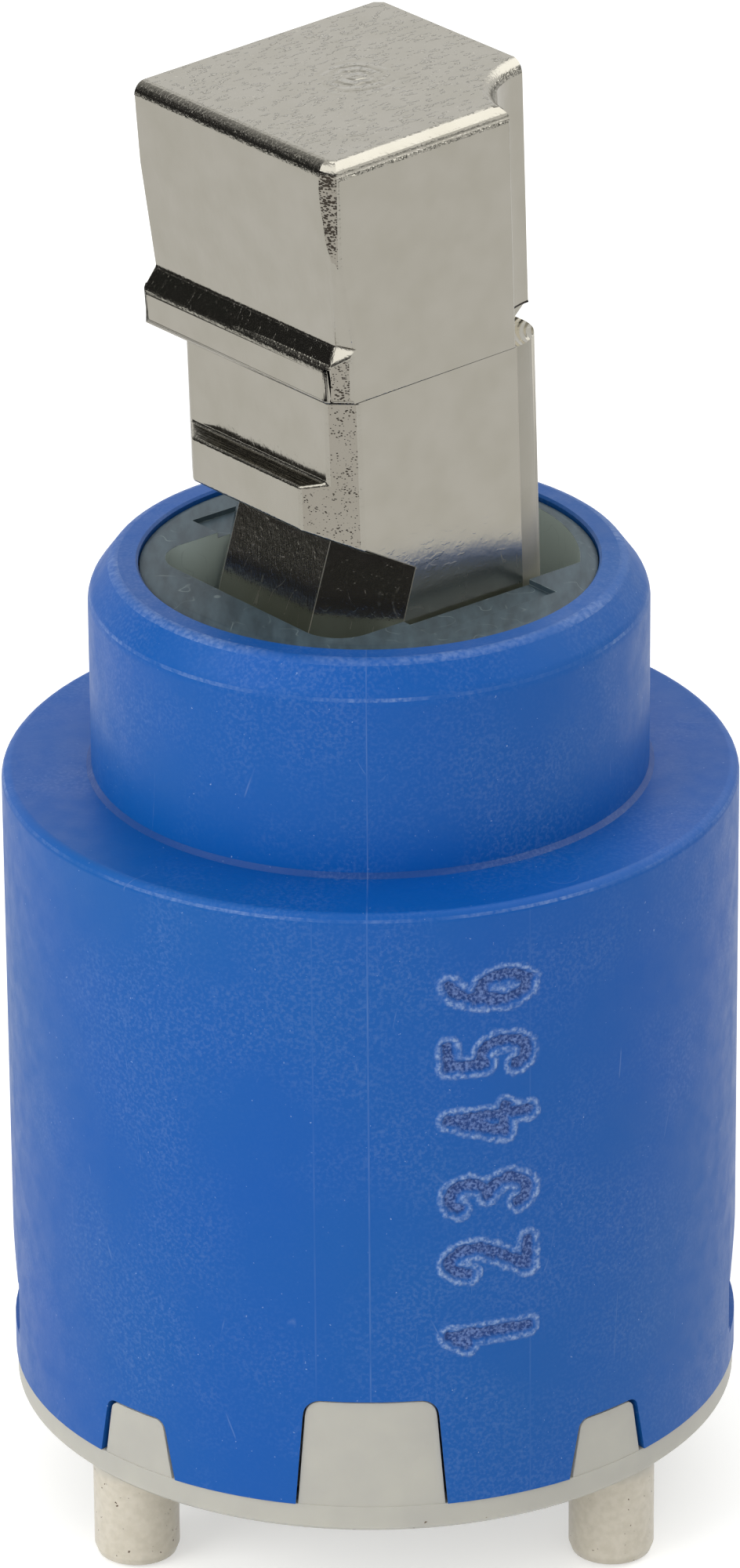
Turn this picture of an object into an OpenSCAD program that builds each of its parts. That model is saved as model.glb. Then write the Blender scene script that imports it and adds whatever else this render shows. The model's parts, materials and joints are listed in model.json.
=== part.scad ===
// Faucet cartridge, single lever, ceramic discs, 46 mm class.
// Millimetres. Z is the housing axis, the origin is on the seat face under the base flange,
// -Y is the front with the wide locating tab.

/* [Housing] */
// Outer diameter of the wide lower body
body_od = 46; // [42:0.5:51]
// Height of the lower body from the flange to the shoulder
body_h = 40.5; // [37.5:0.5:48]
// Outer diameter of the collar above the shoulder
collar_od = 34.8; // [34:0.2:37]
// Height of the collar above the shoulder
collar_h = 13.75; // [13.25:0.25:15]
// Bore of the collar, the carrier turns in it
collar_bore = 28.5; // [28:0.1:29.5]
// Width of the chamfer on the collar's rim
rim_chamfer_w = 1.5; // [0.8:0.1:2.2]
// Height of the chamfer on the collar's rim
rim_chamfer_h = 2.05; // [1:0.05:3]
// Wall thickness of the lower body
skirt_wall = 2.2; // [1.8:0.1:2.4]
// Thickness of the shoulder plate
shoulder_t = 3; // [2.4:0.1:3.4]

/* [Base] */
// Thickness of the base flange
flange_t = 1.8; // [1.4:0.1:2.4]
// How far the flange's rim stands back from the housing's face
flange_inset = 0.1; // [0:0.05:0.4]
// Height of the front tab's top above the seat face
front_tab_top = 9.05; // [7:0.05:11]
// Width of the front tab at its foot
front_tab_w = 9.2; // [7:0.1:11]
// Width of the front tab at its top
front_tab_w2 = 8.1; // [6:0.1:9]
// Height of the narrow tabs' tops above the seat face
side_tab_top = 5.6; // [4.4:0.1:6.5]
// Width of a narrow tab at its foot
side_tab_w = 5.6; // [5:0.1:6]
// Width of a narrow tab at its top
side_tab_w2 = 4.3; // [3.4:0.1:4.6]
// Angle between the front tab and the narrow tabs beside it
side_tab_angle = 40; // [38:0.5:44]
// Diameter of a locating pin
pin_d = 5.4; // [4.6:0.1:6]
// Length of a locating pin below the seat face
pin_len = 7.2; // [4:0.1:9]
// Angle of a locating pin from the front, about the axis
pin_angle = 50.9; // [44:0.1:60]
// Land between a locating pin and the flange's rim
pin_land = 0.87; // [0.5:0.01:2]

/* [Water ports] */
// Diameter of each port through the base
port_d = 8; // [6.5:0.1:8.4]
// Distance of the hot and cold ports from the middle plane
inlet_x = 8.5; // [8:0.1:9]
// Distance of the hot and cold ports in front of the axis
inlet_front = 3.5; // [2.8:0.1:4]
// Distance of the outlet port behind the axis
outlet_back = 8.5; // [8:0.1:9.2]
// Outer diameter of a port seal
seal_od = 12; // [11:0.1:12.4]
// How far a lower seal stands out of the seat face
seal_proud = 0.5; // [0.3:0.1:0.9]

/* [Ceramic discs] */
// Gap between the fixed disc and the housing's wall
disc_gap = 1.2; // [1:0.1:1.6]
// Thickness of the fixed disc
fixed_disc_t = 4.5; // [4.2:0.1:4.8]
// Gap between the moving disc and the housing's wall at the ends of its travel
slide_gap = 0.64; // [0.4:0.02:0.9]
// Thickness of the moving disc
moving_disc_t = 5; // [4.8:0.1:5.2]
// Wall round the mixing chamber in the moving disc
chamber_wall = 3.2; // [3:0.1:3.6]

/* [Lever] */
// Swivel position shown, the way the lever's tilt plane points from +X
swivel_az = 40; // [40:5:140]
// Lean of the lever at rest, towards the closed side
rest_lean = 1.7; // [0:0.1:3]
// Height of the pivot pin above the housing's shoulder
pivot_up = 4.7; // [4.3:0.1:5.2]
// Height of the lever's top above the collar
lever_rise = 31.2; // [26:0.05:36]
// Width of the upper block across the tilt plane
head_w = 18.7; // [18:0.1:20]
// Width of the lower block and the stem across the tilt plane
stem_w = 17.5; // [16.5:0.1:17.7]
// Depth of the upper block in the tilt plane, closed side
head_front = 9.2; // [8.8:0.1:9.6]
// Depth of the upper block in the tilt plane, open side
head_back = 10.05; // [9.5:0.05:11]
// Height of the parting between upper and lower block, above the collar
parting_rise = 15.4; // [14.4:0.05:17]
// Rise of the top face towards its far corner, per millimetre along either side
top_slope = 0.01; // [0:0.01:0.06]
// Radius of the round notch that leaves the rib at one corner
notch_r = 5.75; // [4.5:0.05:6.5]
// Depth of the stem on the closed side, where it enters the carrier
stem_front = 8.6; // [8.2:0.1:9]
// Depth of the lower block and the stem on the open side
stem_back = 8.3; // [7.5:0.1:8.6]
// Radius of the lower block's two corners on the open side
back_r = 3; // [1.5:0.1:4]
// Diameter of the foot's ball
ball_d = 6.4; // [5.6:0.1:6.6]
// Diameter of the pivot pin
pivot_d = 5; // [4:0.1:5.6]

/* [Carrier] */
// Gap between the stem and either side of the opening
side_gap = 0.3; // [0.15:0.05:0.5]
// Gap between the stem and the closed side end of the opening
front_gap = 1.6; // [1.4:0.1:2]
// Wall behind the round end of the opening
opening_wall = 1.12; // [0.9:0.02:1.4]
// Depth of the two shallow recesses beside the opening
recess_depth = 0.35; // [0.2:0.05:0.8]

/* [Part shown] */
// Sub-part to build

/* [Hidden] */

$fn = 96;
fit_turn = 0.08;
fit_slide = 0.02;
fit_tab = 0.14;
fit_plug = 0.12;
fit_shoe = 0.05;
fit_notch = 0.1;
body_r = body_od / 2;
skirt_r = body_r - skirt_wall;
collar_r = collar_od / 2;
bore_r = collar_bore / 2;
shoulder_z = flange_t + body_h;
collar_z = shoulder_z + collar_h;
roof_z = shoulder_z - shoulder_t;
flange_r = body_r - flange_inset;

// Snap windows in the housing and the base's noses in them
window_z = 4.5;
window_w = 9.2;
window_h = 3.3;
window_gap = 0.3;
leadin_h = 6.8;
leadin_depth = 0.4;

// Heights of the stack inside, from the seat face up
plug_r = skirt_r - fit_plug;
plug_z = 8.4;
seal_seat = 1.5;
seal_r = port_d / 2 + 0.2;
pin_r = flange_r - pin_land - pin_d / 2;
upper_seal_h = 2.2;
lower_seal_seat = 1.9;
pocket_depth = 4;
pocket_r = 2.2;
disc_z = plug_z - seal_seat + upper_seal_h;
moving_z = disc_z + fixed_disc_t + fit_slide;
driver_z = moving_z + moving_disc_t + fit_slide;
driver_t = 3;
driver_top = driver_z + driver_t;
leg_z = driver_top + fit_slide;
slip_t = 1;
slip_gap = 0.8;
slip_z = roof_z - slip_t;
carrier_flange_top = slip_z - fit_slide;
carrier_flange_t = 4;
carrier_flange_r = skirt_r - 2;
carrier_top = collar_z - 0.1;
neck_r = bore_r - fit_turn;
pivot_z = shoulder_z + pivot_up;
lever_top = collar_z + lever_rise;
head_bottom = collar_z + parting_rise;

// Rubber ring in the neck's groove
ring_r = 0.74;
groove_h = 1.8;
groove_depth = 1.5;

// The lever's foot and the discs in the closed position
disc_u = 3.36;
foot_up = 4.12;
foot_z = driver_top + foot_up;
foot_arm = norm([disc_u, pivot_z - foot_z]);
foot_angle = atan(disc_u / (pivot_z - foot_z));

// Discs, and the lugs that hold or drive them
fixed_r = skirt_r - disc_gap;
lug_r = fixed_r - 1.35;
lug_w = 4;
moving_r = skirt_r - disc_u - slide_gap;
drive_r = moving_r - 1.5;
drive_w = 5;
driver_r = moving_r - 0.1;
chamber_r = moving_r - chamber_wall;
chamber_flat = -2.4;
mesh_t = 0.6;
mesh_pitch = 2.2;
mesh_hole = 1.2;
seat_t = 2.28;
gasket_w = 1.1;
gasket_t = 0.72;
gasket_r = chamber_r + 0.5 + gasket_w;
gasket_flat = chamber_flat - 0.3 - gasket_w;

// Shoe and the block that holds it
shoe_w = ball_d + 2.6;
shoe_h = 7;
block_l = shoe_w + 5.8;
block_w = shoe_w + 8;
block_h = 9.9;

// Carrier
opening_w = stem_w + 2 * side_gap;
opening_front = stem_front + front_gap;
opening_r = neck_r - opening_wall;
opening_corner = 2.6;
hub_r = pivot_d / 2 + 2.8;
hub_room = hub_r + 2.3;
pivot_half = neck_r - 0.57;

// Closed-side end of the swivel's 100 degrees, and how far off the stops sit for the lug's width
rest_az = 40;
stop_turn = 15.5;
through = 2 * body_od;

// Lever block
hw = head_w / 2;
sw = stem_w / 2;
wall_u = head_front - 1;
step_z = head_bottom - 5.6;
lower_z = head_bottom - 8.75;
under_z = head_bottom - 12.1;

// Ring of a plain wall, standing on z
module tube(ro, ri, z0, h) {
    translate([0, 0, z0])
    difference() {
        cylinder(r = ro, h = h);
        translate([0, 0, -1])
        cylinder(r = ri, h = h + 2);
    }
}

// Trapezoid with rounded upper corners, standing on z = 0, as a slab towards -Y
module tab_slab(w_foot, w_top, h, r, y0, y1) {
    translate([0, y1, 0])
    rotate([90, 0, 0])
    linear_extrude(height = y1 - y0)
    union() {
        polygon([[-w_foot / 2, 0], [w_foot / 2, 0], [w_top / 2 + 0.02, h - r],
            [w_top / 2 - r, h], [-w_top / 2 + r, h], [-w_top / 2 - 0.02, h - r]]);
        translate([w_top / 2 - r, h - r])
        circle(r = r, $fn = 48);
        translate([-w_top / 2 + r, h - r])
        circle(r = r, $fn = 48);
    }
}

// Housing: body, shoulder and collar in one moulding
module housing() {
    color([0.15, 0.37, 0.68])
    difference() {
        union() {
            rotate_extrude($fn = 180)
            polygon([
                [skirt_r, flange_t],
                [body_r, flange_t],
                [body_r, shoulder_z - 0.45],
                [body_r - 0.45, shoulder_z],
                [collar_r + 0.3, shoulder_z],
                [collar_r, shoulder_z + 0.3],
                [collar_r, collar_z - rim_chamfer_h],
                [collar_r - rim_chamfer_w, collar_z],
                [bore_r + 0.15, collar_z],
                [bore_r, collar_z - 0.15],
                [bore_r, roof_z],
                [skirt_r, roof_z]]);
            // Stops inside for the carrier's lug
            for (a = [rest_az + 180 - stop_turn, rest_az + 280 + stop_turn])
            rotate([0, 0, a])
            translate([carrier_flange_r + 0.3, -2, carrier_flange_top - carrier_flange_t])
            cube([skirt_r - carrier_flange_r - 0.1, 4, carrier_flange_t - 0.4]);
        }
        // Notch for the wide front tab
        translate([0, 0, flange_t - 1])
        tab_slab(front_tab_w + 2 * fit_tab + 0.12, front_tab_w2 + 2 * fit_tab,
            front_tab_top - flange_t + 1 + fit_tab, 1.1, -body_r - 2, -skirt_r + 3);
        // Notches for the narrow tabs
        for (a = [-side_tab_angle, side_tab_angle, 180 - side_tab_angle,
            180 + side_tab_angle, 180])
        rotate([0, 0, a])
        translate([0, 0, flange_t - 1])
        tab_slab(side_tab_w + 0.95, side_tab_w2 + 0.55,
            side_tab_top - flange_t + 1 + 0.2, 0.75, -body_r - 2, -skirt_r + 3);
        // Snap windows on both sides, with their lead-in recess
        for (a = [90, -90])
        rotate([0, 0, a]) {
            translate([-window_w / 2, -body_r - 2, window_z])
            cube([window_w, skirt_wall + 4, window_h]);
            translate([-window_w / 2, -body_r - 1, window_z])
            rotate([0, 90, 0])
            rotate([0, 0, 90])
            linear_extrude(height = window_w)
            polygon([[0, -0.5], [1 + leadin_depth, -0.5], [1 + leadin_depth, window_h],
                [0.98, leadin_h], [0, leadin_h]]);
        }
    }
}

// Seal ring with rounded lips, standing on z0
module port_seal(x, y, z0, h) {
    translate([x, y, z0])
    rotate_extrude($fn = 72)
    polygon([
        [seal_r, 0.35],
        [seal_r + 0.35, 0],
        [seal_od / 2 - 0.35, 0],
        [seal_od / 2, 0.35],
        [seal_od / 2, h - 0.35],
        [seal_od / 2 - 0.35, h],
        [seal_r + 0.35, h],
        [seal_r, h - 0.35]]);
}

// Places of hot inlet, cold inlet and outlet
port_pos = [[-inlet_x, -inlet_front], [inlet_x, -inlet_front], [0, outlet_back]];

// Base: flange, plug, tabs, snap noses and locating pins in one moulding
module base() {
    color([0.87, 0.85, 0.79])
    difference() {
        union() {
            rotate_extrude($fn = 180)
            polygon([[0, 0], [flange_r - 0.3, 0], [flange_r, 0.3],
                [flange_r, flange_t - 0.02], [plug_r, flange_t - 0.02],
                [plug_r, plug_z - 0.4], [plug_r - 0.4, plug_z], [0, plug_z]]);
            // Tabs, flush with the skirt
            intersection() {
                union() {
                    translate([0, 0, flange_t - 0.5])
                    tab_slab(front_tab_w, front_tab_w2, front_tab_top - flange_t + 0.5,
                        1, -body_r - 2, -plug_r + 2.5);
                    for (a = [-side_tab_angle, side_tab_angle, 180 - side_tab_angle,
                        180 + side_tab_angle, 180])
                    rotate([0, 0, a])
                    translate([0, 0, flange_t - 0.5])
                    tab_slab(side_tab_w, side_tab_w2, side_tab_top - flange_t + 0.5,
                        0.6, -body_r - 2, -plug_r + 2.5);
                }
                tube(flange_r - 0.05, plug_r - 0.35, 0, 12);
            }
            // Snap noses for the windows
            for (a = [90, -90])
            rotate([0, 0, a])
            translate([-window_w / 2 + 0.5, -plug_r + 0.3, window_z + window_gap])
            rotate([0, 90, 0])
            rotate([0, 0, 90])
            linear_extrude(height = window_w - 1)
            polygon([[-0.4, 0], [0.15 - skirt_wall, 0], [0.15 - skirt_wall, 1.1],
                [-0.4, window_h - 2 * window_gap], [0.4, window_h - 2 * window_gap], [0.4, 0]]);
            // Locating pins
            for (s = [-1, 1])
            rotate([0, 0, s * pin_angle])
            translate([0, -pin_r, -pin_len])
            rotate_extrude($fn = 72)
            polygon([[0, 0], [pin_d / 2 - 0.75, 0], [pin_d / 2 - 0.2, 0.25],
                [pin_d / 2, 0.8], [pin_d / 2, pin_len + 0.5], [0, pin_len + 0.5]]);
            // Lugs that hold the fixed disc
            for (a = [90, 215, 325])
            rotate([0, 0, a])
            translate([lug_r, -lug_w / 2, plug_z - 1])
            cube([plug_r - 0.6 - lug_r, lug_w, 4.6]);
        }
        for (p = port_pos) {
            translate([p[0], p[1], -1])
            cylinder(d = port_d, h = 12);
            translate([p[0], p[1], plug_z - seal_seat])
            cylinder(d = seal_od + 0.1, h = 4);
            translate([p[0], p[1], -1])
            cylinder(d = seal_od + 0.1, h = 1 + lower_seal_seat);
        }
        // Cored pockets in the underside
        for (a = [5, 175])
        rotate([0, 0, a])
        translate([plug_r - 3.2, 0, -1])
        cylinder(r = pocket_r, h = pocket_depth + 1, $fn = 48);
        rotate([0, 0, -90])
        translate([plug_r - 7.4, 0, -1])
        cylinder(r = pocket_r + 1, h = pocket_depth + 1, $fn = 48);
        for (a = [43, 137])
        rotate([0, 0, a])
        translate([plug_r - 4, 0, -1])
        cylinder(r = pocket_r + 0.8, h = pocket_depth + 1, $fn = 48);
    }
}

module seal_hot_upper() {
    color([0.16, 0.16, 0.17])
    port_seal(port_pos[0][0], port_pos[0][1], plug_z - seal_seat, upper_seal_h);
}

module seal_cold_upper() {
    color([0.16, 0.16, 0.17])
    port_seal(port_pos[1][0], port_pos[1][1], plug_z - seal_seat, upper_seal_h);
}

module seal_outlet_upper() {
    color([0.16, 0.16, 0.17])
    port_seal(port_pos[2][0], port_pos[2][1], plug_z - seal_seat, upper_seal_h);
}

module seal_hot_lower() {
    color([0.16, 0.16, 0.17])
    port_seal(port_pos[0][0], port_pos[0][1], -seal_proud, lower_seal_seat + seal_proud);
}

module seal_cold_lower() {
    color([0.16, 0.16, 0.17])
    port_seal(port_pos[1][0], port_pos[1][1], -seal_proud, lower_seal_seat + seal_proud);
}

module seal_outlet_lower() {
    color([0.16, 0.16, 0.17])
    port_seal(port_pos[2][0], port_pos[2][1], -seal_proud, lower_seal_seat + seal_proud);
}

// Fixed disc: three ports and the notches for the base's lugs
module fixed_disc() {
    color([0.93, 0.93, 0.90])
    difference() {
        translate([0, 0, disc_z])
        cylinder(r = fixed_r, h = fixed_disc_t, $fn = 144);
        for (i = [0, 1])
        translate([port_pos[i][0], port_pos[i][1], disc_z - 1])
        cylinder(d = port_d - 1, h = fixed_disc_t + 2);
        translate([port_pos[2][0], port_pos[2][1], disc_z - 1])
        cylinder(d = port_d, h = fixed_disc_t + 2);
        for (a = [90, 215, 325])
        rotate([0, 0, a])
        translate([lug_r - 0.15, -lug_w / 2 - 0.15, disc_z - 1])
        cube([4, lug_w + 0.3, fixed_disc_t + 2]);
    }
}

// D-shaped plug, the flat towards the closed side
module d_plug(r, flat, z0, h) {
    intersection() {
        translate([0, 0, z0])
        cylinder(r = r, h = h, $fn = 96);
        translate([flat, -r - 1, z0 - 1])
        cube([2 * r, 2 * r + 2, h + 2]);
    }
}

// Into the swivel's own frame: X along the tilt plane, Y along the pivot pin
module in_swivel() {
    rotate([0, 0, swivel_az])
    children();
}

// Into the discs' place in the swivel's frame
module in_slide() {
    in_swivel()
    translate([disc_u, 0, 0])
    children();
}

// Moving disc: chamber right through, with a ledge for the screen and two drive notches
module moving_disc() {
    color([0.95, 0.95, 0.92])
    in_slide()
    difference() {
        translate([0, 0, moving_z])
        cylinder(r = moving_r, h = moving_disc_t, $fn = 144);
        d_plug(chamber_r - 0.8, chamber_flat + 0.8, moving_z - 1, moving_disc_t + 2);
        d_plug(chamber_r, chamber_flat, moving_z + seat_t, moving_disc_t);
        for (s = [-1, 1])
        translate([-drive_w / 2 - fit_notch, s > 0 ? drive_r : -drive_r - 3, moving_z + 2.4])
        cube([drive_w + 2 * fit_notch, 3, 4]);
    }
}

// Screen that quiets the water in the chamber
module silencer_mesh() {
    color([0.72, 0.73, 0.74])
    in_slide()
    difference() {
        d_plug(chamber_r - 0.12, chamber_flat + 0.12, moving_z + seat_t, mesh_t);
        for (i = [0:5], j = [-5:5])
        if (norm([1.6 + mesh_pitch * i, mesh_pitch * j]) < chamber_r - 1.9)
        translate([1.6 + mesh_pitch * i, mesh_pitch * j, moving_z])
        cylinder(d = mesh_hole, h = 5, $fn = 16);
    }
}

// Gasket round the chamber, in the driver's groove
module driver_seal() {
    color([0.13, 0.13, 0.14])
    in_slide()
    difference() {
        d_plug(gasket_r, gasket_flat, driver_z - fit_slide, gasket_t);
        d_plug(gasket_r - gasket_w, gasket_flat + gasket_w, driver_z - 1, 3);
    }
}

// Driver: plate with the gasket groove, drive lugs and the block with the shoe's socket
module disc_driver() {
    color([0.80, 0.80, 0.77])
    in_slide()
    difference() {
        union() {
            translate([0, 0, driver_z])
            cylinder(r = driver_r, h = driver_t, $fn = 144);
            translate([-block_l / 2, -block_w / 2, driver_z + 1])
            cube([block_l, block_w, block_h]);
            for (s = [-1, 1])
            intersection() {
                translate([-drive_w / 2, s > 0 ? drive_r + fit_notch : -drive_r - fit_notch - 2,
                    driver_z - 2.3])
                cube([drive_w, 2, 3]);
                translate([0, 0, driver_z - 3])
                cylinder(r = driver_r, h = 5, $fn = 144);
            }
        }
        difference() {
            d_plug(gasket_r + 0.05, gasket_flat - 0.05, driver_z - 1, 1 + gasket_t - fit_slide);
            d_plug(gasket_r - gasket_w - 0.05, gasket_flat + gasket_w + 0.05, driver_z - 2, 4);
        }
        translate([-shoe_w / 2 - fit_shoe, -shoe_w / 2 - fit_shoe, driver_top + 0.3])
        cube([shoe_w + 2 * fit_shoe, shoe_w + 2 * fit_shoe, block_h + 2]);
    }
}

// Shoe: square block with the bore for the lever's ball
module lever_shoe() {
    color([0.90, 0.90, 0.87])
    in_slide()
    difference() {
        translate([-shoe_w / 2, -shoe_w / 2, driver_top + 0.3])
        cube([shoe_w, shoe_w, shoe_h]);
        translate([0, 0, driver_top + 0.5])
        cylinder(d = ball_d + 0.1, h = shoe_h + 1, $fn = 72);
        translate([0, 0, driver_top + shoe_h - 1.7])
        cylinder(d1 = ball_d + 0.1, d2 = ball_d + 1.4, h = 2.1, $fn = 72);
    }
}

// Carrier: neck in the collar, flange under the shoulder, legs that guide the driver
module swivel_carrier() {
    color([0.43, 0.50, 0.49])
    in_swivel()
    difference() {
        union() {
            rotate_extrude($fn = 180)
            polygon([
                [0, carrier_flange_top - carrier_flange_t],
                [carrier_flange_r, carrier_flange_top - carrier_flange_t],
                [carrier_flange_r, carrier_flange_top],
                [neck_r, carrier_flange_top],
                [neck_r, shoulder_z + 0.1 - groove_h],
                [neck_r - groove_depth, shoulder_z + 0.1 - groove_h],
                [neck_r - groove_depth, shoulder_z + 0.1],
                [neck_r, shoulder_z + 0.1],
                [neck_r, carrier_top - 0.3],
                [neck_r - 0.75, carrier_top],
                [0, carrier_top]]);
            // Lug that meets the housing's stops
            rotate([0, 0, 180])
            translate([carrier_flange_r - 3.8, -3, carrier_flange_top - carrier_flange_t])
            cube([skirt_r - carrier_flange_r + 3.3, 6, carrier_flange_t - 0.2]);
            // Legs that press on the driver and guide it
            intersection() {
                translate([0, 0, leg_z])
                cylinder(r = carrier_flange_r, h = carrier_flange_top - leg_z - 1);
                for (s = [-1, 1])
                translate([-12, s > 0 ? block_w / 2 + fit_shoe : -block_w / 2 - fit_shoe - body_r,
                    leg_z])
                cube([24, body_r, carrier_flange_top - carrier_flange_t - leg_z + 1]);
            }
        }
        // Opening for the lever
        intersection() {
            translate([0, 0, shoulder_z + 0.9])
            cylinder(r = opening_r, h = collar_h + 10, $fn = 120);
            union() {
                translate([-opening_front, -opening_w / 2 + opening_corner, pivot_z - 8])
                cube([2 * body_r, opening_w - 2 * opening_corner, collar_h + 12]);
                translate([-opening_front + opening_corner, -opening_w / 2, pivot_z - 8])
                cube([2 * body_r, opening_w, collar_h + 12]);
                for (s = [-1, 1])
                translate([-opening_front + opening_corner, s * (opening_w / 2 - opening_corner),
                    pivot_z - 8])
                cylinder(r = opening_corner, h = collar_h + 12, $fn = 60);
            }
        }
        // Room for the hub and the arm below the opening
        translate([-hub_room, -opening_w / 2, pivot_z - 6])
        cube([2 * hub_room, opening_w, 10]);
        translate([-hub_room, -7.2, carrier_flange_top - carrier_flange_t - 1])
        cube([2 * hub_room, 14.4, pivot_z - carrier_flange_top + carrier_flange_t + 1.3]);
        // Shallow recesses beside the opening
        for (s = [-1, 1])
        translate([-4.7, s > 0 ? opening_w / 2 - 1 : -opening_w / 2 - 2.55,
            carrier_top - recess_depth])
        cube([10, 3.55, 2]);
        // Bore of the pivot pin
        translate([0, -through / 2, pivot_z])
        rotate([-90, 0, 0])
        cylinder(d = pivot_d, h = through, $fn = 60);
    }
}

// Rubber ring in the neck's groove
module neck_ring() {
    color([0.12, 0.12, 0.13])
    translate([0, 0, shoulder_z + 0.1 - groove_h / 2])
    rotate_extrude($fn = 120)
    translate([neck_r - groove_depth / 2, 0])
    circle(r = ring_r, $fn = 32);
}

// Low-friction ring under the shoulder
module slip_ring() {
    color([0.93, 0.93, 0.92])
    tube(skirt_r - slip_gap, neck_r + 0.35, slip_z, slip_t - 0.01);
}

module pivot_pin() {
    color([0.70, 0.71, 0.73])
    in_swivel()
    translate([0, -pivot_half, pivot_z])
    rotate([-90, 0, 0])
    union() {
        translate([0, 0, 0.5])
        cylinder(d = pivot_d, h = 2 * pivot_half - 1, $fn = 60);
        cylinder(d1 = pivot_d - 1, d2 = pivot_d, h = 0.5, $fn = 60);
        translate([0, 0, 2 * pivot_half - 0.5])
        cylinder(d1 = pivot_d, d2 = pivot_d - 1, h = 0.5, $fn = 60);
    }
}

// Slab of a side view, drawn in the tilt plane and w wide across it
module side_slab(pts, v0, v1) {
    translate([0, v1, 0])
    rotate([90, 0, 0])
    linear_extrude(height = v1 - v0)
    polygon(pts);
}

// Half space beyond a flat face through p that looks turn degrees round and rise degrees up
module facet(p, turn, rise) {
    translate(p)
    rotate([0, 0, turn])
    rotate([0, -rise, 0])
    translate([0, -25, -25])
    cube([25, 50, 50]);
}

// Upper block: tapered closed side over a slope and a ledge, cut corners and a sloped top
module head_block() {
    difference() {
        side_slab([
            [-head_front, lever_top + 2],
            [-head_front, head_bottom + 13.6],
            [-head_front + 0.15, head_bottom + 10.6],
            [-wall_u, head_bottom + 3.6],
            [head_back, head_bottom + 3.6],
            [head_back, lever_top + 2]], -hw, hw);
        facet([-head_front + 0.52, -hw, head_bottom + 10], -154, 0);
        facet([-wall_u + 0.38, -hw, head_bottom + 3.55], -162.5, -8.7);
        facet([head_back - 0.5, hw, head_bottom], 45, 0);
    }
    difference() {
        side_slab([
            [-wall_u, head_bottom + 3.6],
            [-head_front, head_bottom + 2.35],
            [-head_front, head_bottom],
            [head_back, head_bottom],
            [head_back, head_bottom + 3.6]], -hw, hw);
        facet([-head_front + 1.2, -hw, head_bottom], -134, 0);
        facet([-wall_u + 0.38, -hw, head_bottom + 3.55], -162.5, 38.7);
        facet([head_back - 0.5, hw, head_bottom], 45, 0);
    }
}

// Lower block: step on the closed side, cut corners there and round corners on the open side
module lower_block() {
    difference() {
        side_slab([
            [-8.5, head_bottom + 0.5],
            [-8.5, step_z],
            [-9.7, step_z - 0.25],
            [-9.7, lower_z],
            [-3.05, under_z],
            [stem_back, under_z],
            [stem_back, head_bottom + 0.5]], -sw, sw);
        facet([-7.1, -sw, step_z], -137, 0);
        facet([-6.47, sw, step_z], 143, 0);
        for (s = [-1, 1])
        back_corner(s, under_z - 1, head_bottom + 1);
    }
    // Slope under the rib
    side_slab([
        [stem_back - 0.5, head_bottom + 0.1],
        [stem_back - 0.5, head_bottom - 2],
        [head_back, head_bottom],
        [head_back, head_bottom + 0.1]], -hw + notch_r - 0.5, sw - back_r);
}

// What a round corner on the open side takes off
module back_corner(s, z0, z1) {
    translate([stem_back - back_r, s * (sw - back_r), z0])
    difference() {
        translate([0, s > 0 ? 0 : -back_r - 1, 0])
        cube([back_r + 1, back_r + 1, z1 - z0]);
        translate([0, 0, -1])
        cylinder(r = back_r, h = z1 - z0 + 2, $fn = 64);
    }
}

// Stem: three facets under the block that widen downwards, then the cheeks of the hub
module neck_stem() {
    difference() {
        side_slab([
            [-5.71, under_z + 2.5],
            [-6.57, under_z],
            [-stem_front, under_z - 5.95],
            [-5.2, pivot_z],
            [-4.2, pivot_z - 4.6],
            [4.2, pivot_z - 4.6],
            [5.2, pivot_z],
            [stem_back, under_z - 5],
            [stem_back, under_z + 2.5]], -sw, sw);
        facet([-3.05, -sw, under_z], -141.2, 14.4);
        facet([-6.57, 4.39, under_z], 137, 14.4);
        for (s = [-1, 1])
        back_corner(s, pivot_z - 8, under_z + 3);
    }
}

module lever_spindle() {
    color([0.72, 0.71, 0.67])
    in_swivel()
    difference() {
        union() {
            translate([0, 0, pivot_z])
            rotate([0, -rest_lean, 0])
            translate([0, 0, -pivot_z]) {
                difference() {
                    union() {
                        head_block();
                        lower_block();
                    }
                    // Top face, a little higher towards its far corner
                    translate([0, 0, lever_top])
                    rotate([atan(top_slope), -atan(top_slope), 0])
                    translate([-30, -35, 0])
                    cube([60, 70, 20]);
                    // Round notch down to the lower block
                    translate([head_back + 0.45, -hw - 0.6, head_bottom - 0.2])
                    cylinder(r = notch_r, h = 30, $fn = 96);
                }
                neck_stem();
            }
            translate([0, -sw, pivot_z])
            rotate([-90, 0, 0])
            cylinder(r = hub_r, h = stem_w, $fn = 72);
            // Arm and ball
            translate([0, 0, pivot_z])
            rotate([0, 180 - foot_angle, 0]) {
                cylinder(d1 = 9.6, d2 = 6.4, h = foot_arm - 10.5, $fn = 60);
                translate([0, 0, foot_arm - 10.6])
                cylinder(d1 = 6.4, d2 = 4.2, h = 6.2, $fn = 60);
                cylinder(d = 4.2, h = foot_arm, $fn = 48);
                translate([0, 0, foot_arm])
                sphere(d = ball_d, $fn = 60);
            }
        }
        translate([0, -through / 2, pivot_z])
        rotate([-90, 0, 0])
        cylinder(d = pivot_d + 0.1, h = through, $fn = 60);
    }
}

housing();
base();
lever_spindle();
swivel_carrier();
pivot_pin();
neck_ring();
slip_ring();
lever_shoe();
disc_driver();
driver_seal();
silencer_mesh();
moving_disc();
fixed_disc();
seal_hot_upper();
seal_cold_upper();
seal_outlet_upper();
seal_hot_lower();
seal_cold_lower();
seal_outlet_lower();
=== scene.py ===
# Faucet cartridge: camera, light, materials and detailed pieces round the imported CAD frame.
import json
import math

import bmesh
import bpy
from mathutils import Matrix, Vector, noise


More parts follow.
